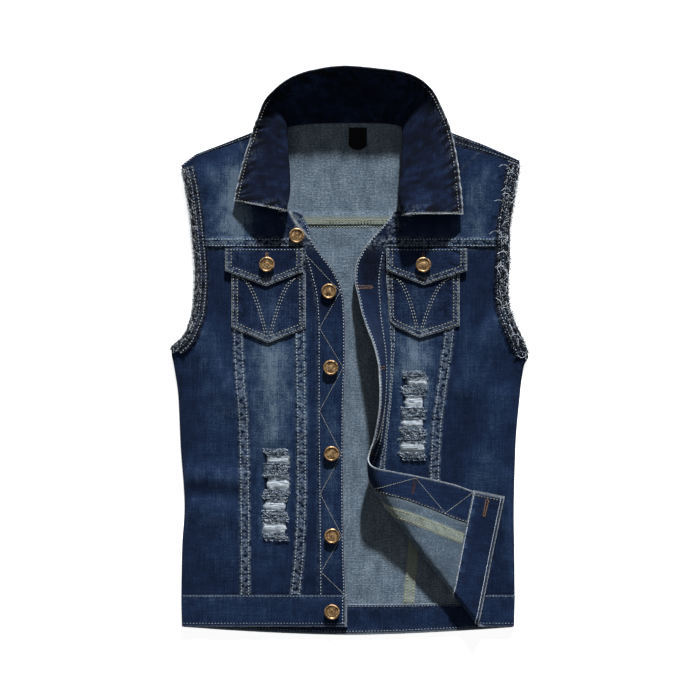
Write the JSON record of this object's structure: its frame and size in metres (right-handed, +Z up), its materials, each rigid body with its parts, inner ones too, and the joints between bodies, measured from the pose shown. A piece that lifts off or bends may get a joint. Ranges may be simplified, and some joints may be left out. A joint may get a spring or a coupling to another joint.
{
  "type": "denim vest",
  "caption": "Sleeveless denim vest laid flat and open, with a spread collar, flapped chest pockets, frayed armholes, worn rips and one lower front corner turned back.",
  "frame": {"origin": "on the surface it lies on, under the middle of its outline", "axes": "+Y from the hem to the collar, +X to the right as seen from above, +Z up from the surface"},
  "size_m": [0.4584, 0.7236, 0.0404],
  "materials": {
    "dark_denim": "matte indigo twill, faded along seams and edges",
    "faded_denim": "matte indigo twill with a broad worn fade",
    "denim_back": "matte, its pale weft side showing",
    "collar_denim": "matte dark indigo twill",
    "weft": "loose pale threads",
    "frayed_trim": "frayed raw edge",
    "button_metal": "antique copper and brass, satin",
    "label_cloth": "matte woven tape"
  },
  "bodies": {
    "root": {"back_yoke": "denim_back", "back_centre_panel": "denim_back", "back_left_side_panel": "denim_back", "back_right_side_panel": "denim_back", "back_waistband": "dark_denim", "front_left_side_panel": "dark_denim", "front_left_centre_panel": "faded_denim", "front_left_inner_strip": "dark_denim", "front_left_placket": "dark_denim", "waistband_left": "dark_denim", "front_left_yoke": "dark_denim", "pocket_left": "dark_denim", "pocket_flap_left": "dark_denim", "weft_left_1": "weft", "weft_left_2": "weft", "weft_left_3": "weft", "weft_left_4": "weft", "armhole_trim_left": "frayed_trim", "front_right_side_panel": "dark_denim", "front_right_centre_panel": "faded_denim", "front_right_inner_strip": "dark_denim", "front_right_placket": "dark_denim", "waistband_right": "dark_denim", "front_right_yoke": "dark_denim", "pocket_right": "dark_denim", "pocket_flap_right": "dark_denim", "weft_right_1": "weft", "weft_right_2": "weft", "weft_right_3": "weft", "weft_right_4": "weft", "armhole_trim_right": "frayed_trim", "collar": "collar_denim", "button_1": "button_metal", "button_2": "button_metal", "button_3": "button_metal", "button_4": "button_metal", "button_5": "button_metal", "button_6": "button_metal", "flap_button_left": "button_metal", "flap_button_right": "button_metal", "neck_label": "label_cloth"}
  },
  "joints": []
}
